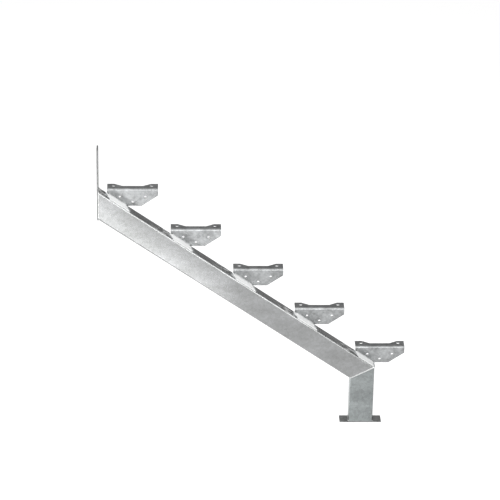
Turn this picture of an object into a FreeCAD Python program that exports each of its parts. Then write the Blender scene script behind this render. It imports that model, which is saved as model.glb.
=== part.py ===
import FreeCAD, Part
import math
import os

from FreeCAD import Matrix, Vector

# A welded and galvanised steel stair stringer, in millimetres.
# The origin is at the middle of the foot's underside. +X runs down the stair, +Y towards
# the treads, +Z up. A sloping tube is mitred to an upright foot, an end plate hangs it on
# the landing, and one folded bracket for each tread is lapped on its inner side.

# Stair
GOING = 250.0
RISE = 175.0
TREADS = 5

# Rectangular hollow section of the beam and the foot
TUBE_DEPTH = 100.0
TUBE_WIDTH = 50.0
TUBE_WALL = 3.0
TUBE_CORNER = 7.5

# Base plate, as deep as the tube is wide
BASE_LENGTH = 170.0
BASE_THICKNESS = 5.0
BASE_VENT = 20.0
BASE_VENT_OFFSET = 22.0

# Hanger plate, as wide as the tube
HANGER_HEIGHT = 300.0
HANGER_THICKNESS = 6.0
HANGER_GAP = 32.5
HANGER_HOLE = 14.0
HANGER_HOLE_DROP = 25.0
HANGER_HOLE_SPACING = 50.0
HANGER_VENT = 20.0

# Tread bracket, folded from one sheet
SHEET = 4.0
BEND_INSIDE = 3.0
BRACKET_LENGTH = 200.0
BRACKET_HEIGHT = 73.0
BRACKET_END_HEIGHT = 28.5
BRACKET_LAP = 12.0
FLANGE_WIDTH = 50.0
FLANGE_WAIST = 30.0
FLANGE_TAB = 28.0
FLANGE_WAIST_LENGTH = 80.0
FLANGE_HOLE = 14.0
FLANGE_HOLE_SPACING = 150.0
FLANGE_HOLE_SETBACK = 32.0
SIDE_HOLE = 9.0
SIDE_HOLE_SPACING = 100.0
SIDE_HOLE_DROP = 34.0
LOW_HOLE_DROP = 56.5

# Place of the lowest bracket: its middle from the foot's centre line, its seat above the floor
FIRST_BRACKET_X = 72.5
FIRST_SEAT_Z = 325.0

# Sharp edges of plates and brackets are broken before galvanising
EDGE_BREAK = 0.6

# Welds: a many-sided round bead sunk a little into the seam, fillets and groove fills
BEAD_RADIUS = 3.5
BEAD_SINK = 1.5
BEAD_SIDES = 8
FILLET_LEG = 4.0
GROOVE_CROWN = 1.5
GROOVE_ROOT_GAP = 0.15

# Room that cutting shapes have past the faces they cut
OVERRUN = TUBE_WIDTH

# Directions and lines that the stair's pitch gives
PITCH = math.atan2(RISE, GOING)
DOWN_SLOPE = Vector(math.cos(PITCH), 0, -math.sin(PITCH))
OFF_SLOPE = Vector(math.sin(PITCH), 0, math.cos(PITCH))
INWARD = Vector(0, 1, 0)
UP = Vector(0, 0, 1)
INNER_FACE = TUBE_WIDTH / 2
TUBE_UPRIGHT_DEPTH = TUBE_DEPTH / math.cos(PITCH)


def beam_top(x):
    """Height of the beam's top face at x, a lap above the brackets' slanted edges."""
    slant_x = FIRST_BRACKET_X - BRACKET_LENGTH / 2
    slant_z = FIRST_SEAT_Z - BRACKET_END_HEIGHT
    return slant_z + BRACKET_LAP / math.cos(PITCH) - (x - slant_x) * math.tan(PITCH)


def beam_underside(x):
    """Height of the beam's bottom face at x."""
    return beam_top(x) - TUBE_UPRIGHT_DEPTH


def bracket_place(step):
    """Middle and seat height of a bracket, step 0 being the lowest."""
    return Vector(FIRST_BRACKET_X - step * GOING, 0, FIRST_SEAT_Z + step * RISE)


HANGER_FACE_X = bracket_place(TREADS - 1).x - BRACKET_LENGTH / 2 - HANGER_GAP
MITRE_INNER = Vector(-TUBE_DEPTH / 2, 0, beam_underside(-TUBE_DEPTH / 2))
MITRE_OUTER = Vector(TUBE_DEPTH / 2, 0, beam_top(TUBE_DEPTH / 2))
MITRE_LINE = (MITRE_OUTER - MITRE_INNER).normalize()
MITRE_NORMAL = MITRE_LINE.cross(INWARD)


def prism(points, direction):
    """Solid swept from a closed outline of points along a direction."""
    return Part.Face(Part.makePolygon(points + points[:1])).extrude(direction)


def side_prism(points, half_width):
    """Solid with a side outline in X and Z, spread evenly about the middle plane."""
    near = [Vector(point.x, -half_width, point.z) for point in points]
    return prism(near, Vector(0, 2 * half_width, 0))


def corner_angle(shape, edge):
    """Angle in degrees between the two faces that meet along an edge."""
    middle = edge.valueAt((edge.FirstParameter + edge.LastParameter) / 2)
    normals = []
    for face in shape.ancestorsOfType(edge, Part.Face):
        normals.append(face.normalAt(*face.Surface.parameter(middle)))
    return math.degrees(normals[0].getAngle(normals[1]))


def break_edges(shape, shortest):
    """Chamfers the sharp edges, leaving bends and edges no longer than shortest."""
    smooth_angle = 20
    sharp = [edge for edge in shape.Edges
             if edge.Length > shortest and corner_angle(shape, edge) > smooth_angle]
    return shape.makeChamfer(EDGE_BREAK, sharp)


def drill(centre, direction, diameter):
    """Straight hole cutter through a sheet, centred in its thickness."""
    axis = Vector(direction).normalize()
    return Part.makeCylinder(diameter / 2, 2 * OVERRUN, centre - axis * OVERRUN, axis)


def rounded_rectangle(width, depth, corner):
    """Closed outline about the origin, width along X and depth along Y."""
    flat_x = width / 2 - corner
    flat_y = depth / 2 - corner
    edges = []
    for side in (1, -1):
        turn = 90 - 90 * side
        right = side * width / 2
        top = side * depth / 2
        edges.append(Part.makeLine(Vector(right, -side * flat_y), Vector(right, side * flat_y)))
        near_corner = Vector(side * flat_x, side * flat_y)
        edges.append(Part.makeCircle(corner, near_corner, UP, turn, turn + 90))
        edges.append(Part.makeLine(Vector(side * flat_x, top), Vector(-side * flat_x, top)))
        far_corner = Vector(-side * flat_x, side * flat_y)
        edges.append(Part.makeCircle(corner, far_corner, UP, turn + 90, turn + 180))
    return Part.Wire(edges)


def cross_frame(middle, axis):
    """Frame of a cross-section: its X is inwards, its Z along the axis."""
    depth_way = axis.cross(INWARD)
    return Matrix(INWARD.x, depth_way.x, axis.x, middle.x,
                  INWARD.y, depth_way.y, axis.y, middle.y,
                  INWARD.z, depth_way.z, axis.z, middle.z)


def tube_bar(start, axis, length, inset):
    """Solid bar with the tube's outline, moved inwards by inset, from start along axis."""
    outline = rounded_rectangle(TUBE_WIDTH - 2 * inset, TUBE_DEPTH - 2 * inset, TUBE_CORNER - inset)
    return Part.Face(outline.transformed(cross_frame(start, axis))).extrude(axis * length)


def beam_bar(inset):
    """Untrimmed bar along the slope, running past both of the beam's ends."""
    head = Vector(HANGER_FACE_X, 0, beam_top(HANGER_FACE_X) - TUBE_UPRIGHT_DEPTH / 2)
    length = (MITRE_OUTER.x - HANGER_FACE_X) / math.cos(PITCH)
    return tube_bar(head - DOWN_SLOPE * TUBE_DEPTH, DOWN_SLOPE, length + 2 * TUBE_DEPTH, inset)


def post_bar(inset):
    """Untrimmed upright bar, running past both of the post's ends."""
    start = Vector(0, 0, BASE_THICKNESS - OVERRUN)
    return tube_bar(start, UP, MITRE_OUTER.z + 2 * OVERRUN, inset)


def beam_trim():
    """Everything between the hanger plate and the mitre."""
    return side_prism([Vector(HANGER_FACE_X, 0, beam_top(HANGER_FACE_X) + OVERRUN),
                       Vector(HANGER_FACE_X, 0, beam_underside(HANGER_FACE_X) - OVERRUN),
                       MITRE_INNER - MITRE_LINE * OVERRUN,
                       MITRE_OUTER + MITRE_LINE * OVERRUN], TUBE_WIDTH)


def post_trim():
    """Everything between the base plate and the mitre."""
    return side_prism([Vector(MITRE_INNER.x - OVERRUN, 0, BASE_THICKNESS),
                       Vector(MITRE_OUTER.x + OVERRUN, 0, BASE_THICKNESS),
                       MITRE_OUTER + MITRE_LINE * OVERRUN,
                       MITRE_INNER - MITRE_LINE * OVERRUN], TUBE_WIDTH)


def beam_envelope():
    """Outside of the sloping tube, cut upright at its head and mitred at its foot."""
    return beam_bar(0).common(beam_trim())


def post_envelope():
    """Outside of the upright tube, from the base plate to the mitre."""
    return post_bar(0).common(post_trim())


def stringer_beam():
    """Sloping hollow tube."""
    return beam_envelope().cut(beam_bar(TUBE_WALL))


def foot_post():
    """Upright hollow tube."""
    return post_envelope().cut(post_bar(TUBE_WALL))


def base_plate():
    """Flat bar under the post, with a tab at each side and a vent into the tube."""
    corner = Vector(-BASE_LENGTH / 2, -TUBE_WIDTH / 2, 0)
    plate = break_edges(Part.makeBox(BASE_LENGTH, TUBE_WIDTH, BASE_THICKNESS, corner), 0)
    return plate.cut(drill(Vector(BASE_VENT_OFFSET, 0, 0), UP, BASE_VENT))


def hanger_plate():
    """Upright flat bar at the head of the beam, with two bolt holes and a vent into the tube."""
    foot = beam_underside(HANGER_FACE_X)
    head = foot + HANGER_HEIGHT
    corner = Vector(HANGER_FACE_X - HANGER_THICKNESS, -TUBE_WIDTH / 2, foot)
    plate = break_edges(Part.makeBox(HANGER_THICKNESS, TUBE_WIDTH, HANGER_HEIGHT, corner), 0)
    along = Vector(1, 0, 0)
    for hole in range(2):
        height = head - HANGER_HOLE_DROP - hole * HANGER_HOLE_SPACING
        plate = plate.cut(drill(Vector(HANGER_FACE_X, 0, height), along, HANGER_HOLE))
    vent = Vector(HANGER_FACE_X, 0, foot + TUBE_UPRIGHT_DEPTH / 2)
    return plate.cut(drill(vent, along, HANGER_VENT))


def folded_sheet():
    """Angle of the bracket, seat flange at the top, with the bend's two radii."""
    outside = BEND_INSIDE + SHEET
    back = -BRACKET_LENGTH / 2
    half = math.sqrt(0.5)

    def at(y, z):
        return Vector(back, INNER_FACE + y, z)

    outer_middle = at(outside * (1 - half), -outside * (1 - half))
    outer_bend = Part.Arc(at(0, -outside), outer_middle, at(outside, 0))
    inner_middle = at(outside - BEND_INSIDE * half, -outside + BEND_INSIDE * half)
    inner_bend = Part.Arc(at(outside, -SHEET), inner_middle, at(SHEET, -outside))
    runs = [at(outside, 0), at(FLANGE_WIDTH, 0), at(FLANGE_WIDTH, -SHEET), at(outside, -SHEET)]
    drops = [at(SHEET, -outside), at(SHEET, -BRACKET_HEIGHT), at(0, -BRACKET_HEIGHT), at(0, -outside)]
    edges = [outer_bend.toShape()]
    edges += [Part.makeLine(start, end) for start, end in zip(runs, runs[1:])]
    edges += [inner_bend.toShape()]
    edges += [Part.makeLine(start, end) for start, end in zip(drops, drops[1:])]
    return Part.Face(Part.Wire(edges)).extrude(Vector(BRACKET_LENGTH, 0, 0))


def bracket_outline(y):
    """Side outline of a bracket about its own middle, on the plane at y, open above its seat."""
    half = BRACKET_LENGTH / 2
    toe = half - (BRACKET_HEIGHT - BRACKET_END_HEIGHT) / math.tan(PITCH)
    corners = [(-half, OVERRUN), (-half, -BRACKET_END_HEIGHT), (-toe, -BRACKET_HEIGHT),
               (toe, -BRACKET_HEIGHT), (half, -BRACKET_END_HEIGHT), (half, OVERRUN)]
    return [Vector(x, y, z) for x, z in corners]


def tread_bracket():
    """Folded bracket about its own middle, its seat at height 0."""
    half = BRACKET_LENGTH / 2
    upright = prism(bracket_outline(INNER_FACE - OVERRUN), INWARD * (FLANGE_WIDTH + 2 * OVERRUN))
    bracket = folded_sheet().common(upright)

    edge = INNER_FACE + FLANGE_WIDTH
    waist = INNER_FACE + FLANGE_WAIST
    tab = half - FLANGE_TAB
    low = FLANGE_WAIST_LENGTH / 2
    flare = (tab - low) / (edge - waist)
    past = tab + OVERRUN * flare
    scallop = prism([Vector(-past, edge + OVERRUN, OVERRUN), Vector(-low, waist, OVERRUN),
                     Vector(low, waist, OVERRUN), Vector(past, edge + OVERRUN, OVERRUN)],
                    Vector(0, 0, -2 * OVERRUN))
    bracket = break_edges(bracket.cut(scallop), SHEET + EDGE_BREAK)

    for side in (-1, 1):
        seat = Vector(side * FLANGE_HOLE_SPACING / 2, INNER_FACE + FLANGE_HOLE_SETBACK, 0)
        flank = Vector(side * SIDE_HOLE_SPACING / 2, INNER_FACE, -SIDE_HOLE_DROP)
        bracket = bracket.cut(drill(seat, UP, FLANGE_HOLE))
        bracket = bracket.cut(drill(flank, INWARD, SIDE_HOLE))
    return bracket.cut(drill(Vector(0, INNER_FACE, -LOW_HOLE_DROP), INWARD, SIDE_HOLE))


def bead_round(middle, axis, depth, carriers):
    """Weld bead round a tube where a plane cuts it to the given depth, less what it lies on."""
    outline = rounded_rectangle(TUBE_WIDTH - 2 * BEAD_SINK, depth - 2 * BEAD_SINK, TUBE_CORNER - BEAD_SINK)
    spine = outline.transformed(cross_frame(middle, axis))
    first = spine.Edges[0]
    start = first.valueAt(first.FirstParameter)
    heading = first.tangentAt(first.FirstParameter)
    across = axis.cross(heading)
    half_side = math.pi / BEAD_SIDES
    ring = [start + across * BEAD_RADIUS * math.cos((2 * side + 1) * half_side)
            + axis * BEAD_RADIUS * math.sin((2 * side + 1) * half_side) for side in range(BEAD_SIDES)]
    bead = spine.makePipe(Part.Face(Part.makePolygon(ring + ring[:1])))
    for carrier in carriers:
        bead = bead.cut(carrier)
    return bead


def mitre_weld():
    """Bead round the mitre, stopped where the lowest bracket and its welds lie on it."""
    middle = (MITRE_INNER + MITRE_OUTER) / 2
    depth = MITRE_INNER.distanceToPoint(MITRE_OUTER)
    lapped = prism(bracket_outline(INNER_FACE - TUBE_CORNER), INWARD * OVERRUN).translated(bracket_place(0))
    welded = lapped.translated(-OFF_SLOPE * FILLET_LEG)
    return bead_round(middle, MITRE_NORMAL, depth, [post_envelope(), beam_envelope(), lapped, welded])


def hanger_weld():
    """Bead round the beam's head, in the corner with the hanger plate."""
    middle = Vector(HANGER_FACE_X, 0, beam_underside(HANGER_FACE_X) + TUBE_UPRIGHT_DEPTH / 2)
    return bead_round(middle, Vector(1, 0, 0), TUBE_UPRIGHT_DEPTH, [beam_envelope(), hanger_plate()])


def base_welds():
    """Fillets at the post's two sides, which stop flush with the base plate's long edges."""
    bead = bead_round(UP * BASE_THICKNESS, UP, TUBE_DEPTH, [post_bar(0), base_plate()])
    room = Part.makeBox(BASE_LENGTH, TUBE_WIDTH, OVERRUN, Vector(-BASE_LENGTH / 2, -TUBE_WIDTH / 2, 0))
    return bead.common(room)


def slope_prism(section, start, length):
    """Prism along the slope. The section gives y and the distance off the slope, from start."""
    points = [start + INWARD * y + OFF_SLOPE * off for y, off in section]
    return prism(points, DOWN_SLOPE * length)


def bracket_welds():
    """Fillet under a bracket's slanted edge and fill in the groove on the tube's top corner."""
    half = BRACKET_LENGTH / 2
    drop = BRACKET_HEIGHT - BRACKET_END_HEIGHT
    slant = Vector(-half, INNER_FACE, -BRACKET_END_HEIGHT)
    fillet = slope_prism([(0, 0), (SHEET, 0), (0, -FILLET_LEG)], slant, drop / math.sin(PITCH))

    crown = slant + OFF_SLOPE * BRACKET_LAP
    root = math.sqrt(TUBE_CORNER ** 2 - (TUBE_CORNER - GROOVE_ROOT_GAP) ** 2)
    groove = slope_prism([(0, root - TUBE_CORNER), (0, GROOVE_CROWN), (-TUBE_CORNER, 0),
                          (-TUBE_CORNER, root - TUBE_CORNER)], crown,
                         (drop + BRACKET_LAP * math.cos(PITCH)) / math.sin(PITCH))
    lowest = bracket_place(0)
    groove = groove.cut(beam_envelope().translated(-lowest)).common(beam_trim().translated(-lowest))
    return Part.makeCompound([fillet, groove])


def export(shape, name):
    """Writes one node's solids."""
    shape.exportStep(os.path.join("parts", name + ".step"))
    print(name, len(shape.Solids), "solids", round(shape.Volume / 1000, 2), "cm3")


def main():
    os.makedirs("parts", exist_ok=True)
    export(stringer_beam(), "stringer_beam")
    export(foot_post(), "foot_post")
    export(base_plate(), "base_plate")
    export(hanger_plate(), "hanger_plate")
    export(mitre_weld(), "mitre_weld")
    export(hanger_weld(), "hanger_weld")
    export(base_welds(), "base_welds")
    bracket = tread_bracket()
    welds = bracket_welds()
    for step in range(TREADS):
        export(bracket.translated(bracket_place(step)), f"tread_bracket_{step + 1}")
        export(welds.translated(bracket_place(step)), f"bracket_welds_{step + 1}")


main()
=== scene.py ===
# %% [markdown]
# # A galvanised stair stringer
# The part is one side of a steel stair: a sloping tube, an upright foot on a base plate, a hanger
# plate at the head and five folded brackets that carry the treads. It is welded together and then
# dipped in molten zinc. Its solids come from a imported model in metres, and this lesson gives them
# their zinc, their weld beads, the light and the view.
#
# ## The solids
# The pieces could be modelled again in Blender, but then their sizes might drift. The box round
# all of them is measured and kept.

# %% Load the solids
import math

import bmesh
import bpy
from mathutils import Matrix, Vector


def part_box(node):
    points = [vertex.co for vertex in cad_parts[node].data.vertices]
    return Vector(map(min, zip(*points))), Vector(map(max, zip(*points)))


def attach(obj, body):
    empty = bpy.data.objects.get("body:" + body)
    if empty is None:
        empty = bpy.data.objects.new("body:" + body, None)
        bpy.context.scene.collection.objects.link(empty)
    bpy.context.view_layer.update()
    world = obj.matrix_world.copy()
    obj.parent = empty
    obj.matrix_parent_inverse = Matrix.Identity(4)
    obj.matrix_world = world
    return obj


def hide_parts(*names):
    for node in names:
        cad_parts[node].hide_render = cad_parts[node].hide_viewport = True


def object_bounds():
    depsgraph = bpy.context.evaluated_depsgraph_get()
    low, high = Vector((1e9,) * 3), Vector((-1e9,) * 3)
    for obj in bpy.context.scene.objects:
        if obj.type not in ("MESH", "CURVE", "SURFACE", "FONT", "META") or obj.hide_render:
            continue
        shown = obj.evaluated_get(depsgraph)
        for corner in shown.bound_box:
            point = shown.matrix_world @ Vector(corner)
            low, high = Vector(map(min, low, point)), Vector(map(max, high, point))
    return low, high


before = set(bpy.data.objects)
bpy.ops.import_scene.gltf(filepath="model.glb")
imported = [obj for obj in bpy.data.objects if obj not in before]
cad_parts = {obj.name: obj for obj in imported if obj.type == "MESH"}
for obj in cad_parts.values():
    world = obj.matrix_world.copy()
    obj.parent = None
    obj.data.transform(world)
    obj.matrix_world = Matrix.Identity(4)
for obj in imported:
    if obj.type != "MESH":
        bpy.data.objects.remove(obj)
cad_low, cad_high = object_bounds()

print("solids:", sorted(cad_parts))
print("box in metres:", cad_low, cad_high)

# %% [markdown]
# ## Colours and nodes
# Colour charts give sRGB hex values, but a shader works with linear light, so one function turns
# one into the other. A second function adds a node, sets it and links it in one call, which keeps
# a node tree readable as text. The alternative, a line for each node, setting and link, hides the
# idea.

# %% Colours and nodes
MM = 0.001


def linear(hex_colour):
    """Linear RGBA of an sRGB hex colour such as "9aa0a3"."""
    channels = [int(hex_colour[place:place + 2], 16) / 255 for place in (0, 2, 4)]
    return [c / 12.92 if c <= 0.04045 else ((c + 0.055) / 1.055) ** 2.4 for c in channels] + [1.0]


def add_node(tree, kind, inputs=None, **settings):
    """Adds one node. Each input takes another node's output socket or a plain value. It goes by
    its name, or by its number where one node has several inputs of that name."""
    node = tree.nodes.new(kind)
    for name, value in settings.items():
        setattr(node, name, value)
    for name, value in (inputs or {}).items():
        if isinstance(value, bpy.types.NodeSocket):
            tree.links.new(value, node.inputs[name])
        else:
            node.inputs[name].default_value = value
    return node


def new_material(name):
    """An empty material and its node tree."""
    material = bpy.data.materials.new(name)
    material.use_nodes = True
    material.node_tree.nodes.clear()
    return material, material.node_tree


print("mid grey 808080 in linear light:", round(linear("808080")[0], 3))

# %% [markdown]
# ## The slope
# The beads, the paint and the grain of the rolled tube all follow the slope of the stair. Its
# angle could be typed in, but here it is measured from the boxes of the two lowest brackets, so
# the lesson still holds for a stair with another rise.

# %% The slope
first_bracket, second_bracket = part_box("tread_bracket_1")[0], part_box("tread_bracket_2")[0]
beam_low, beam_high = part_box("stringer_beam")

pitch = math.atan2(second_bracket.z - first_bracket.z, first_bracket.x - second_bracket.x)
stair_step = (first_bracket - second_bracket).length
down_slope = Vector((math.cos(pitch), 0, -math.sin(pitch)))
off_slope = Vector((math.sin(pitch), 0, math.cos(pitch)))
inward = Vector((0, 1, 0))


def tube_top(x):
    """Height of the sloping tube's top face."""
    return beam_high.z - (x - beam_low.x) * math.tan(pitch)


print("pitch", round(math.degrees(pitch), 1), "degrees, step", round(stair_step / MM), "mm")

# %% [markdown]
# ## Painted reflection: streaks
# In front of each bracket, the tube's top mirrors the bracket's plate as a light strip. Here that
# reflection is painted on: a pale coat, duller than the zinc and with no metal. Thin strips of mesh
# could lie on the tube, but their edges would show from the side. Here a mask inside the tube's own
# material says where zinc shows.
#
# The painted strip has streaky ends, longer than they are wide. A Wave texture would give stripes
# that are too even. So a noise is turned to the slope and drawn out along it.

# %% Streaks of the painted reflection
STREAK_SIZE = 14.0 * MM
STREAK_STRETCH = 4.0
STREAK_DETAIL = 3


def reflection_streaks(tree, place):
    """Noise drawn out along the slope, for the streaky edges of the painted reflection."""
    drawn = add_node(tree, "ShaderNodeMapping", {
        "Vector": place, "Rotation": (0, -pitch, 0), "Scale": (1 / STREAK_STRETCH, 1, 1)})
    return add_node(tree, "ShaderNodeTexNoise", {
        "Vector": drawn.outputs[0], "Scale": 1 / STREAK_SIZE, "Detail": STREAK_DETAIL}).outputs[0]


print("blots of", STREAK_SIZE / MM, "by", STREAK_SIZE * STREAK_STRETCH / MM, "mm")

# %% [markdown]
# ## Painted reflection: along the tube
# The same strip comes back at every bracket. Five masks could be added up, but one that repeats
# is shorter. A dot product gives the distance down the slope, a Ping-Pong node folds it at every
# stair step and a Map Range node cuts the strip out. The streaks make its ends ragged, and pale
# blots uphill of it are painted reflection as well.

# %% Strips along the tube
PAINT_MIDDLE = 42.0 * MM
PAINT_HALF_LENGTH = 50.0 * MM
PAINT_FADE = 2.0 * MM
PAINT_SKEW = 0.45
RAGGED = 18.0 * MM
UPHILL_REFLECTION_REACH = (0.45, 0.7)
UPHILL_REFLECTION_EDGE = (0.48, 0.6)
UPHILL_REFLECTION_SHOWING = 0.5

strip_x = first_bracket.x + PAINT_MIDDLE
strip_middle = Vector((strip_x, 0, tube_top(strip_x)))


def past_strip(tree, place):
    """0 along each painted strip, 1 past its ends, with blots of painted reflection uphill of it.
    """
    blots = reflection_streaks(tree, place)
    skewed = down_slope + inward * PAINT_SKEW
    run = add_node(tree, "ShaderNodeVectorMath", {0: place, 1: skewed}, operation="DOT_PRODUCT")
    ragged = add_node(tree, "ShaderNodeMath", {0: blots, 1: RAGGED, 2: run.outputs["Value"]},
                      operation="MULTIPLY_ADD").outputs[0]
    below = add_node(tree, "ShaderNodeMath", {
        0: ragged, 1: strip_middle.dot(skewed) + RAGGED / 2}, operation="SUBTRACT").outputs[0]
    away = add_node(tree, "ShaderNodeMath", {0: below, 1: stair_step / 2},
                    operation="PINGPONG").outputs[0]
    past = add_node(tree, "ShaderNodeMapRange", {
        "Value": away, "From Min": PAINT_HALF_LENGTH - PAINT_FADE,
        "From Max": PAINT_HALF_LENGTH}).outputs[0]
    in_step = add_node(tree, "ShaderNodeMath", {0: below, 1: stair_step, 2: 0},
                       operation="WRAP").outputs[0]
    uphill = add_node(tree, "ShaderNodeMapRange", {
        "Value": in_step, "From Min": stair_step * UPHILL_REFLECTION_REACH[0],
        "From Max": stair_step * UPHILL_REFLECTION_REACH[1]}).outputs[0]
    uphill_reflection = add_node(tree, "ShaderNodeMapRange", {
        "Value": blots, "From Min": UPHILL_REFLECTION_EDGE[0], "From Max": UPHILL_REFLECTION_EDGE[1], "To Min": 1,
        "To Max": UPHILL_REFLECTION_SHOWING}).outputs[0]
    uphill_painted = add_node(tree, "ShaderNodeMix", {"Factor": uphill, 2: 1.0, 3: uphill_reflection}).outputs[0]
    return add_node(tree, "ShaderNodeMath", {0: past, 1: uphill_painted}, operation="MINIMUM").outputs[0]


print("first painted strip at", strip_middle)

# %% [markdown]
# ## Painted reflection: across the tube
# The painted strip stays on the tube's top: it stops short of the front corner and doesn't run
# down the sides. Thin lines of zinc show through it at set places across the top. Each limit could
# be painted by hand on an image, but a few more distances do it at any scale. Each gives a mask of
# its own, and the zinc shows where any of them says so.

# %% Strips across the tube
PAINT_FRONT = -21.0 * MM
PAINT_DEPTH = 9.0 * MM
STRIP_LINE_SPACING = 24.0 * MM
STRIP_LINE_PLACE = -9.0 * MM
EDGE_WIDTH = 1.6 * MM
EDGE_SHOWING = 0.45


def outside_painted_reflection(tree, place):
    """0 where painted reflection covers the tube's top by a bracket, 1 where zinc shows."""
    shows = past_strip(tree, place)
    height = add_node(tree, "ShaderNodeVectorMath", {0: place, 1: off_slope},
                      operation="DOT_PRODUCT")
    lowest = strip_middle.dot(off_slope) - PAINT_DEPTH
    under = add_node(tree, "ShaderNodeMapRange", {
        "Value": height.outputs["Value"], "From Min": lowest, "From Max": lowest + PAINT_FADE,
        "To Min": 1, "To Max": 0}).outputs[0]
    across = add_node(tree, "ShaderNodeSeparateXYZ", {0: place}).outputs["Y"]
    before = add_node(tree, "ShaderNodeMapRange", {
        "Value": across, "From Min": PAINT_FRONT - PAINT_FADE, "From Max": PAINT_FRONT,
        "To Min": 1, "To Max": 0}).outputs[0]
    off_edge = add_node(tree, "ShaderNodeMath", {0: across, 1: STRIP_LINE_PLACE},
                        operation="SUBTRACT").outputs[0]
    across_lines = add_node(tree, "ShaderNodeMath", {0: off_edge, 1: STRIP_LINE_SPACING / 2},
                         operation="PINGPONG").outputs[0]
    edge = add_node(tree, "ShaderNodeMapRange", {
        "Value": across_lines, "From Max": EDGE_WIDTH, "To Min": EDGE_SHOWING,
        "To Max": 0}).outputs[0]
    for limit in (under, before, edge):
        shows = add_node(tree, "ShaderNodeMath", {0: shows, 1: limit},
                         operation="MAXIMUM").outputs[0]
    return shows


print("mask ready for", round((beam_high - beam_low).x / MM), "mm of tube")

# %% [markdown]
# ## Hot-dip zinc
# After welding, the whole stringer is dipped in molten zinc. The coat freezes in flat crystals
# that are called spangle, some lighter and some darker, and in broad clouds where the steel cooled
# at another pace. A photograph of zinc could be wrapped round the part, but it would stretch at
# the corners. Here a Voronoi texture gives each crystal one tone, and noise gives the clouds and
# the fine grit. All of them read Object coordinates in metres, so each scale is one over a real
# size.
#
# Zinc is a metal, so its shader is fully metallic. New zinc has a roughness of about 0.2 to 0.4:
# it mirrors light and dark, but no clear image. Over a rough mill skin it is duller still, up to
# 0.7. The paler crystals are a little smoother.

# %% Zinc coat
# Grit is really about 0.4 mm. It is drawn at 1.5 mm, because finer grit doesn't show in a render.
GRIT = 1.5 * MM
GRIT_DETAIL = 2
GRIT_SHARE = 0.4
GRAIN_SHARE = 0.45
CLOUD_DETAIL = 5
CLOUD_ROUGHNESS = 0.6
CLOUD_RANGE = (0.3, 0.7)
BUMP_STRENGTH = 0.25
# Painted reflection of the bracket plates on the tube's top: a pale white-grey with no metal,
# matt enough to hide its streaks.
PAINTED_REFLECTION_COLOUR = "f0f1f1"
PAINTED_REFLECTION_ROUGHNESS = 0.5


def zinc(name, tones, spangle, cloud, roughness, relief, turn=(0, 0, 0), stretch=1.0,
         showing=None):
    """Zinc coat, with its spangle, cloud and relief in millimetres. On rolled stock the clouds are
    turned to the rolled length and stretched along it. A mask may say where zinc shows; elsewhere a
    pale reflection is painted."""
    material, tree = new_material(name)
    dark, light = tones
    dull, bright = roughness
    place = add_node(tree, "ShaderNodeTexCoord").outputs["Object"]
    drawn = add_node(tree, "ShaderNodeMapping", {
        "Vector": place, "Rotation": turn, "Scale": (1 / stretch, 1, 1)}).outputs[0]
    crystals = add_node(tree, "ShaderNodeTexVoronoi", {
        "Vector": place, "Scale": 1 / (spangle * MM)})
    crystal = add_node(tree, "ShaderNodeSeparateColor", {0: crystals.outputs["Color"]}).outputs[0]
    clouds = add_node(tree, "ShaderNodeTexNoise", {
        "Vector": drawn, "Scale": 1 / (cloud * MM), "Detail": CLOUD_DETAIL,
        "Roughness": CLOUD_ROUGHNESS}).outputs[0]
    specks = add_node(tree, "ShaderNodeTexNoise", {
        "Vector": place, "Scale": 1 / GRIT, "Detail": GRIT_DETAIL}).outputs[0]
    patches = add_node(tree, "ShaderNodeMapRange", {
        "Value": clouds, "From Min": CLOUD_RANGE[0], "From Max": CLOUD_RANGE[1]}).outputs[0]
    grain = add_node(tree, "ShaderNodeMix", {
        "Factor": GRIT_SHARE, 2: crystal, 3: specks}).outputs[0]
    tone = add_node(tree, "ShaderNodeMix", {
        "Factor": GRAIN_SHARE, 2: patches, 3: grain}).outputs[0]
    colour = add_node(tree, "ShaderNodeMix", {"Factor": tone, 6: linear(dark), 7: linear(light)},
                      data_type="RGBA").outputs[2]
    gloss = add_node(tree, "ShaderNodeMapRange", {
        "Value": tone, "To Min": dull, "To Max": bright}).outputs[0]
    bump = add_node(tree, "ShaderNodeBump", {
        "Height": grain, "Strength": BUMP_STRENGTH, "Distance": relief * MM}).outputs[0]
    metal = 1.0
    # Where the mask is 0, a pale painted reflection replaces the zinc: matt and without metal.
    if showing:
        metal = showing(tree, place)
        colour = add_node(tree, "ShaderNodeMix", {
            "Factor": metal, 6: linear(PAINTED_REFLECTION_COLOUR), 7: colour}, data_type="RGBA").outputs[2]
        gloss = add_node(tree, "ShaderNodeMix", {
            "Factor": metal, 2: PAINTED_REFLECTION_ROUGHNESS, 3: gloss}).outputs[0]
    shader = add_node(tree, "ShaderNodeBsdfPrincipled", {
        "Base Color": colour, "Metallic": metal, "Roughness": gloss, "Normal": bump})
    add_node(tree, "ShaderNodeOutputMaterial", {"Surface": shader.outputs[0]})
    print("made", name)
    return material


print("grit of", GRIT / MM, "mm in every coat")

# %% [markdown]
# ## Five finishes from one bath
# Every piece went through the same bath, but the coat looks different on each kind of steel. One
# material could serve them all, and the stringer would then look cast in one piece. So the
# function makes five, with crystals of 6 to 9 mm and clouds of 20 to 60 mm.

# %% Five finishes
ROLLED_STRETCH = 3.0

# Hot-dip zinc on rolled tube: smooth, so it mirrors the floor as a soft sheen, and the faint
# clouds run down the slope.
# Its mask paints a pale reflection of each bracket's plate on the tube's top.
beam_zinc = zinc("hot_dip_zinc_on_sloping_tube", ("7f807f", "9fa0a1"), spangle=9, cloud=60,
                 roughness=(0.25, 0.22), relief=0.06, turn=(0, -pitch, 0),
                 stretch=ROLLED_STRETCH, showing=outside_painted_reflection)

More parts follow.
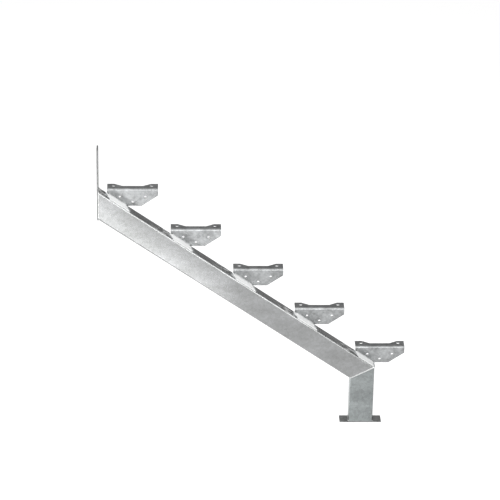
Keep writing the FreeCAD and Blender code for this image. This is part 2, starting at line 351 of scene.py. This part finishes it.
# The same tube at the foot is given darker, cooler tones, with plain clouds that run upright.
post_zinc = zinc("hot_dip_zinc_on_upright_tube", ("666969", "999e9e"), spangle=9, cloud=60,
                 roughness=(0.25, 0.21), relief=0.08, turn=(0, math.pi / 2, 0),
                 stretch=ROLLED_STRETCH)

# Hot-dip zinc on flat bar, over a rough mill skin: a dull, even grey without bright lines.
plate_zinc = zinc("hot_dip_zinc_on_flat_bar", ("6e6f6f", "9b9c9c"), spangle=8, cloud=40,
                  roughness=(0.7, 0.6), relief=0.2)

# Hot-dip zinc on folded sheet, which cools fast: the strongest mottling, and a soft bright line
# along the bend.
sheet_zinc = zinc("hot_dip_zinc_on_folded_sheet", ("6a6b6b", "b3b5b6"), spangle=7, cloud=35,
                  roughness=(0.33, 0.27), relief=0.1)

# Hot-dip zinc on weld metal, given paler tones than the coat round it, so welds are pale lines.
weld_zinc = zinc("hot_dip_zinc_on_weld", ("a4a5a5", "d6d7d7"), spangle=6, cloud=20,
                 roughness=(0.4, 0.32), relief=0.1)

# %% [markdown]
# ## Dress the solids
# The tube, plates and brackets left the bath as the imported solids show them. They could be
# remeshed first, but their shapes are already true. So they keep their meshes and only get the
# zinc that suits the steel they were cut from: rolled tube, flat bar or folded sheet.

# %% Dress the solids
FINISH = {"stringer_beam": beam_zinc, "foot_post": post_zinc, "base_plate": plate_zinc,
          "hanger_plate": plate_zinc}
for name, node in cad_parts.items():
    finish = FINISH.get(name, weld_zinc if "weld" in name else sheet_zinc)
    for slot in node.material_slots:
        slot.material = finish
print("dressed", len(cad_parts), "solids")

# %% [markdown]
# ## Weld beads
# A welder lays a bead in short steps, and each step freezes as a ripple that overlaps the last
# one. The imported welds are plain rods, so each is replaced by a rippled bead at the same place. A
# bump map could fake the ripples, but it would leave the outline straight. Instead a disc is
# pushed along the joint: every push extrudes the end face, moves it and swells or narrows it a
# little.

# %% Ripples
RIPPLE = 4.0 * MM
RIPPLE_RISE = 0.3
RIPPLE_SWELL = 1.035


def push(bm, cap, move, swell=1.0):
    """Extrudes the end face of a bead by a matrix and swells it about its middle. The face's edges
    go in with it, or else the old face would stay inside the bead."""
    made = bmesh.ops.extrude_face_region(bm, geom=[cap, *cap.edges])["geom"]
    rim = [item for item in made if isinstance(item, bmesh.types.BMVert)]
    cap = next(item for item in made if isinstance(item, bmesh.types.BMFace))
    bmesh.ops.transform(bm, matrix=move, verts=rim)
    middle = Matrix.Translation(-cap.calc_center_median())
    bmesh.ops.scale(bm, vec=(swell, swell, swell), space=middle, verts=rim)
    return cap


def ripples(bm, cap, length, part_way):
    """Lays ripples over a length. part_way gives the matrix for a share of the way."""
    count = max(1, round(length / RIPPLE))
    for _ in range(count):
        cap = push(bm, cap, part_way(RIPPLE_RISE / count), RIPPLE_SWELL)
        cap = push(bm, cap, part_way((1 - RIPPLE_RISE) / count), 1 / RIPPLE_SWELL)
    return cap


print("ripples every", RIPPLE / MM, "mm")

# %% [markdown]
# ## A bead round corners
# A bead goes straight, then turns a corner, then goes straight again. A curve with a round bevel
# could do that, but it has no ripples to vary. So each straight length moves the disc and each
# turn swings it about a pivot, as the welder's hand does. An open bead gets rounded ends from a
# bevel.

# %% Lay a bead
BEAD_SIDES = 14
TURN_RADIUS = 5.6 * MM
END_ROUND = 0.6
END_SEGMENTS = 4
JOIN_WITHIN = 0.01 * MM


def about(pivot, angle, axis):
    """Turn about an axis through a point."""
    return (Matrix.Translation(pivot) @ Matrix.Rotation(angle, 4, axis)
            @ Matrix.Translation(-pivot))


def lay_bead(bm, place, heading, axis, legs, radius, bend=TURN_RADIUS, closed=False):
    """Lays a bead from a place along a heading. Each leg is a straight length and then a turn
    about the axis, in degrees. An open bead gets rounded ends, a closed one joins up."""
    heading, axis = Vector(heading).normalized(), Vector(axis).normalized()
    square = Matrix.Translation(place) @ heading.to_track_quat("Z", "Y").to_matrix().to_4x4()
    disc = bmesh.ops.create_circle(bm, cap_ends=True, segments=BEAD_SIDES, radius=radius,
                                   matrix=square)
    start = disc["verts"][0].link_faces[0]
    cap = start if closed else push(bm, start, Matrix.Translation(heading * radius))
    for length, degrees in legs:
        if length:
            way = heading * length
            cap = ripples(bm, cap, length, lambda share: Matrix.Translation(way * share))
        if degrees:
            angle = math.radians(degrees)
            pivot = cap.calc_center_median() + axis.cross(heading) * math.copysign(bend, angle)
            cap = ripples(bm, cap, bend * abs(angle),
                          lambda share: about(pivot, angle * share, axis))
            heading = Matrix.Rotation(angle, 3, axis) @ heading
    if closed:
        bmesh.ops.delete(bm, geom=[start, cap], context="FACES_ONLY")
        bmesh.ops.remove_doubles(bm, verts=bm.verts, dist=JOIN_WITHIN)
    else:
        cap = push(bm, cap, Matrix.Translation(heading * radius))
        bmesh.ops.bevel(bm, geom=[*start.edges, *cap.edges], offset=END_ROUND * radius,
                        segments=END_SEGMENTS, profile=0.5, affect="EDGES", material=-1)


print("a bead's section has", BEAD_SIDES, "sides")

# %% [markdown]
# ## From bmesh to piece
# A weld becomes part of the steel, so its piece rides on the same body as the solids. The beads of
# one joint could be many objects, but one mesh for each packed weld keeps the two models alike. So
# each finished bmesh becomes one object that stands for the weld it replaces.

# %% Bead piece
def bead_piece(name, bm, node):
    """Turns finished beads into one piece that stands for a packed weld."""
    bmesh.ops.recalc_face_normals(bm, faces=bm.faces)
    for face in bm.faces:
        face.smooth = True
    mesh = bpy.data.meshes.new(name)
    bm.to_mesh(mesh)
    bm.free()
    mesh.materials.append(weld_zinc)
    piece = bpy.data.objects.new(name, mesh)
    bpy.context.scene.collection.objects.link(piece)
    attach(piece, "root")
    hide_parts(node)
    print(name, "has", len(mesh.polygons), "faces")


print("welds to replace:", sorted(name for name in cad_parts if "weld" in name))

# %% [markdown]
# ## Bead at the head
# The tube's head stands against the hanger plate, with a bead all round it. A torus could be
# stretched to fit, but it would get thicker at its ends and miss the flat sides. So the bead
# follows the tube's rounded section, sunk a little below its faces, and joins up with its own
# start.

# %% Head bead
TUBE_WIDTH = 50.0 * MM
TUBE_DEPTH = 100.0 * MM
TUBE_CORNER = 7.5 * MM
BEAD_RADIUS = 3.5 * MM
BEAD_SINK = TUBE_CORNER - TURN_RADIUS

flat_width = TUBE_WIDTH - 2 * TUBE_CORNER
side_face = TUBE_WIDTH / 2 - BEAD_SINK
head_depth = TUBE_DEPTH / math.cos(pitch)
head_corner = Vector((beam_low.x, -side_face, beam_high.z - head_depth + TUBE_CORNER))
half_round = [(head_depth - 2 * TUBE_CORNER, 90), (flat_width, 90)]

bm = bmesh.new()
lay_bead(bm, head_corner, (0, 0, 1), (-1, 0, 0), half_round * 2, BEAD_RADIUS, closed=True)
bead_piece("hanger_bead", bm, "hanger_weld")

# %% [markdown]
# ## Bead round the mitre
# The sloping tube and the foot are cut on one slanting plane and welded all round, up to the
# lowest bracket. A closed bead would run through that bracket, so this one is open. It starts
# below the bracket on the inner side, passes under the tube, climbs the front and ends at the
# bracket's foot on the outer edge. It is ground low, so it is sunk deeper.

# %% Mitre bead
FILLET_LEG = 4.0 * MM
MITRE_SINK = 2.3 * MM

mitre_inner = Vector((-TUBE_DEPTH / 2, 0, tube_top(-TUBE_DEPTH / 2) - head_depth))
mitre_outer = Vector((TUBE_DEPTH / 2, 0, tube_top(TUBE_DEPTH / 2)))
mitre_length = (mitre_outer - mitre_inner).length
climb = (mitre_outer - mitre_inner).normalized()
mitre_face = TUBE_WIDTH / 2 - MITRE_SINK
below_bracket = (first_bracket.z - FILLET_LEG - mitre_inner.z) / climb.z

bm = bmesh.new()
lay_bead(bm, mitre_inner + climb * below_bracket + inward * mitre_face, -climb,
         climb.cross(inward),
         [(below_bracket - TUBE_CORNER - BEAD_RADIUS, 90), (flat_width, 90),
          (mitre_length - 2 * TUBE_CORNER, 90), (flat_width - BEAD_RADIUS, 0)],
         BEAD_RADIUS, TUBE_CORNER - MITRE_SINK)
bead_piece("mitre_bead", bm, "mitre_weld")

# %% [markdown]
# ## Beads at the foot
# Two short fillets hold the foot to its base plate, one each side. A bead all round would hang
# over the plate's long edges, which are level with the tube. So each turns in only a little at the
# tube's rounded corners. The second is the first one turned half round, by a change of sign.

# %% Foot beads
TURN_IN = 20

plate_top = Vector((0, 0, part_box("base_plate")[1].z))
lean = math.radians(TURN_IN)
bm = bmesh.new()
for side in (1, -1):
    heading = Vector((math.sin(lean), math.cos(lean), 0)) * side
    pivot = Vector((TUBE_DEPTH / 2 - TUBE_CORNER, -flat_width / 2, 0)) * side
    corner = pivot + Vector((math.cos(lean), -math.sin(lean), 0)) * side * TURN_RADIUS
    lay_bead(bm, corner - heading * BEAD_RADIUS + plate_top, heading, (0, 0, 1),
             [(0, TURN_IN), (flat_width, TURN_IN)], BEAD_RADIUS)
bead_piece("foot_beads", bm, "base_welds")

# %% [markdown]
# ## Beads along the brackets
# Each bracket laps the tube's inner side. One bead fills the groove between its plate and the
# tube's rounded top corner, and a fillet runs below its slanted lower edge. One pair could be
# copied up the stair, but laying each pair from its own bracket's box keeps it in place.

# %% Bracket beads
BRACKETS = 5
END_HEIGHT = 28.5 * MM
LAP = 12.0 * MM
GROOVE_LENGTH = 86.0 * MM
GROOVE_RADIUS = 4.2 * MM
GROOVE_MIDDLE = (-1.6 * MM, -2.4 * MM)
FILLET_RADIUS = 3.3 * MM
FILLET_MIDDLE = (0.4 * MM, -0.4 * MM)

for step in range(1, BRACKETS + 1):
    low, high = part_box(f"tread_bracket_{step}")
    slant = Vector((low.x, low.y, high.z - END_HEIGHT))
    slant_length = (slant.z - low.z) / math.sin(pitch)
    bm = bmesh.new()
    for start, length, radius, (across, off) in (
            (slant + off_slope * LAP, GROOVE_LENGTH, GROOVE_RADIUS, GROOVE_MIDDLE),
            (slant, slant_length, FILLET_RADIUS, FILLET_MIDDLE)):
        lay_bead(bm, start + inward * across + off_slope * off, down_slope, inward,
                 [(length - 2 * radius, 0)], radius)
    bead_piece(f"bracket_beads_{step}", bm, f"bracket_welds_{step}")

# %% [markdown]
# ## Floor
# The part stands on a pale studio floor. A curved backdrop could rise behind it, but that would
# show from the other sides. So the floor is one flat sheet that reaches far out all round.

# %% Floor
FLOOR_REACH = 60.0

floor_mesh = bpy.data.meshes.new("floor")
floor_bm = bmesh.new()
bmesh.ops.create_grid(floor_bm, x_segments=1, y_segments=1, size=FLOOR_REACH)
bmesh.ops.translate(floor_bm, vec=(0, 0, cad_low.z), verts=floor_bm.verts)
floor_bm.to_mesh(floor_mesh)
floor_bm.free()
floor = bpy.data.objects.new("floor", floor_mesh)
bpy.context.scene.collection.objects.link(floor)
print("floor at", round(cad_low.z, 4), "m")

# %% [markdown]
# ## Floor paint
# A photographer's floor is painted matt white. More light could make it white in the picture, but
# it would bleach the zinc as well. Instead the floor glows a little towards the camera and towards
# reflections only, and its diffuse paint still takes the soft shadow.

# %% Floor paint
FLOOR_GLOW = 0.74
FLOOR_PAINT = "c8c8c8"

# Matt studio paint: an even white in the picture and in the zinc, with no gloss of its own.
floor_paint, tree = new_material("matt_white_studio_floor")
path = add_node(tree, "ShaderNodeLightPath").outputs
seen = path["Is Camera Ray"]
for ray in ("Is Glossy Ray", "Is Transmission Ray"):
    seen = add_node(tree, "ShaderNodeMath", {0: seen, 1: path[ray]},
                    operation="MAXIMUM").outputs[0]
glow = add_node(tree, "ShaderNodeMath", {0: seen, 1: FLOOR_GLOW}, operation="MULTIPLY").outputs[0]
shine = add_node(tree, "ShaderNodeEmission", {"Strength": glow}).outputs[0]
matt = add_node(tree, "ShaderNodeBsdfDiffuse", {"Color": linear(FLOOR_PAINT)}).outputs[0]
both = add_node(tree, "ShaderNodeAddShader", {0: shine, 1: matt}).outputs[0]
add_node(tree, "ShaderNodeOutputMaterial", {"Surface": both})
floor_mesh.materials.append(floor_paint)
print("floor glows", FLOOR_GLOW)

# %% [markdown]
# ## A softbox
# A softbox is a lamp behind a white cloth, and zinc shows that cloth as a soft bright patch. Its
# power could be given in watts, but then a larger box would look dimmer in the zinc. So the
# function takes the brightness of the cloth and works out the power. A honeycomb grid in front of
# the cloth holds its light off the floor.

# %% Softbox
NO_GRID = 180


def softbox(name, place, target, width, height, brightness, spread=NO_GRID, roll=0):
    """Rectangular softbox. A honeycomb grid narrows its spread, in degrees. Its power follows from
    the brightness of its face, seen straight on."""
    half = math.radians(spread / 2)
    gain = math.tan(half) / (math.tan(half) - half) if spread < NO_GRID else 1.0
    light = bpy.data.lights.new(name, "AREA")
    light.shape = "RECTANGLE"
    light.size = width
    light.size_y = height
    light.spread = 2 * half
    light.energy = brightness * math.pi * width * height / gain
    lamp = bpy.data.objects.new(name, light)
    lamp.location = place
    facing = (Vector(target) - Vector(place)).to_track_quat("-Z", "Y").to_matrix()
    lamp.rotation_euler = (facing @ Matrix.Rotation(math.radians(roll), 3, "Z")).to_euler()
    lamp.visible_camera = False
    bpy.context.scene.collection.objects.link(lamp)
    print(name, round(light.energy), "W")


print("1 square metre of cloth at brightness 1 takes", round(math.pi, 2), "W")

# %% [markdown]
# ## Light
# Zinc is a metal, so it shows what stands round it more than its own colour. One lamp overhead
# would leave every upright face flat, so softboxes stand where those faces mirror them. The left
# and right ones in front draw bright lines along the tube's corner and the bends. The high one
# spreads them, and the one at the side widens the corner's line. Both light the pale painted
# reflection on the tube's top. A long strip, parallel to the slope and near the head, fades the
# tube from light at the head to grey at the foot. A small one low at the left lights the foot's
# corner, and one behind lights the floor.
# The grey world keeps the faces that look up and back dark.

# %% Light
STUDIO_GREY = 0.36

world = bpy.data.worlds.new("grey_studio")
world.use_nodes = True
background = world.node_tree.nodes["Background"]
background.inputs["Color"].default_value = (STUDIO_GREY, STUDIO_GREY, STUDIO_GREY, 1)
bpy.context.scene.world = world

# Each has its place, its target, its width and height, its brightness and its grid, if any.
softbox("left_softbox", (-1.0, -3.6, 1.3), (-0.4, 0, 1.4), 2.6, 1.6, 3.5, 130)
softbox("right_softbox", (1.1, -3.6, 1.2), (-0.5, 0, 1.5), 2.2, 1.4, 8.0, 75)
softbox("high_softbox", (-0.4, -2.2, 3.0), (-0.4, 0, 0.7), 3.4, 2.2, 2.4)
softbox("side_softbox", (1.9, -1.8, 2.45), (-0.45, 0, 0.75), 1.6, 1.6, 2.5, 90)
softbox("strip_softbox", (-1.26, -0.9, 0.556), (-1.24, 0, 1.031), 1.65, 0.15, 4.0, roll=-36)
softbox("foot_softbox", (-0.16, -0.1, 0.11), (0, -0.1, 0.1), 0.4, 0.2, 2.8, 100)
softbox("top_softbox", (-0.4, 1.2, 3.6), (-0.4, 0.4, 0), 3.0, 3.0, 1.0)

# %% [markdown]
# ## Camera
# The photograph looks down on the stair from the front, and its uprights stay nearly upright. An
# upright camera with a large lens shift gives that, but the shift would push the part out of every
# other view. So this is a plain camera, tipped down and without shift. It stands 10 m away with a
# long lens, because a far camera keeps uprights nearly parallel. Its angles come from fitting the
# places of the part's corners in the picture.

# %% Camera
VIEW_YAW = math.radians(2.0)
VIEW_PITCH = math.radians(26.0)
VIEW_ROLL = math.radians(1.0)
VIEW_DISTANCE = 10.0
VIEW_AIM = Vector((-0.463, 0.0, 0.772))
LENS = 181.6

forward = Vector((math.sin(VIEW_YAW) * math.cos(VIEW_PITCH),
                  math.cos(VIEW_YAW) * math.cos(VIEW_PITCH), -math.sin(VIEW_PITCH)))
camera_data = bpy.data.cameras.new("camera")
camera_data.lens = LENS
camera = bpy.data.objects.new("camera", camera_data)
camera.location = VIEW_AIM - forward * VIEW_DISTANCE
level = forward.to_track_quat("-Z", "Y").to_matrix()
camera.rotation_euler = (level @ Matrix.Rotation(VIEW_ROLL, 3, "Z")).to_euler()
bpy.context.scene.collection.objects.link(camera)
bpy.context.scene.camera = camera
bpy.context.scene.view_settings.view_transform = "Standard"
print("camera at", camera.location)
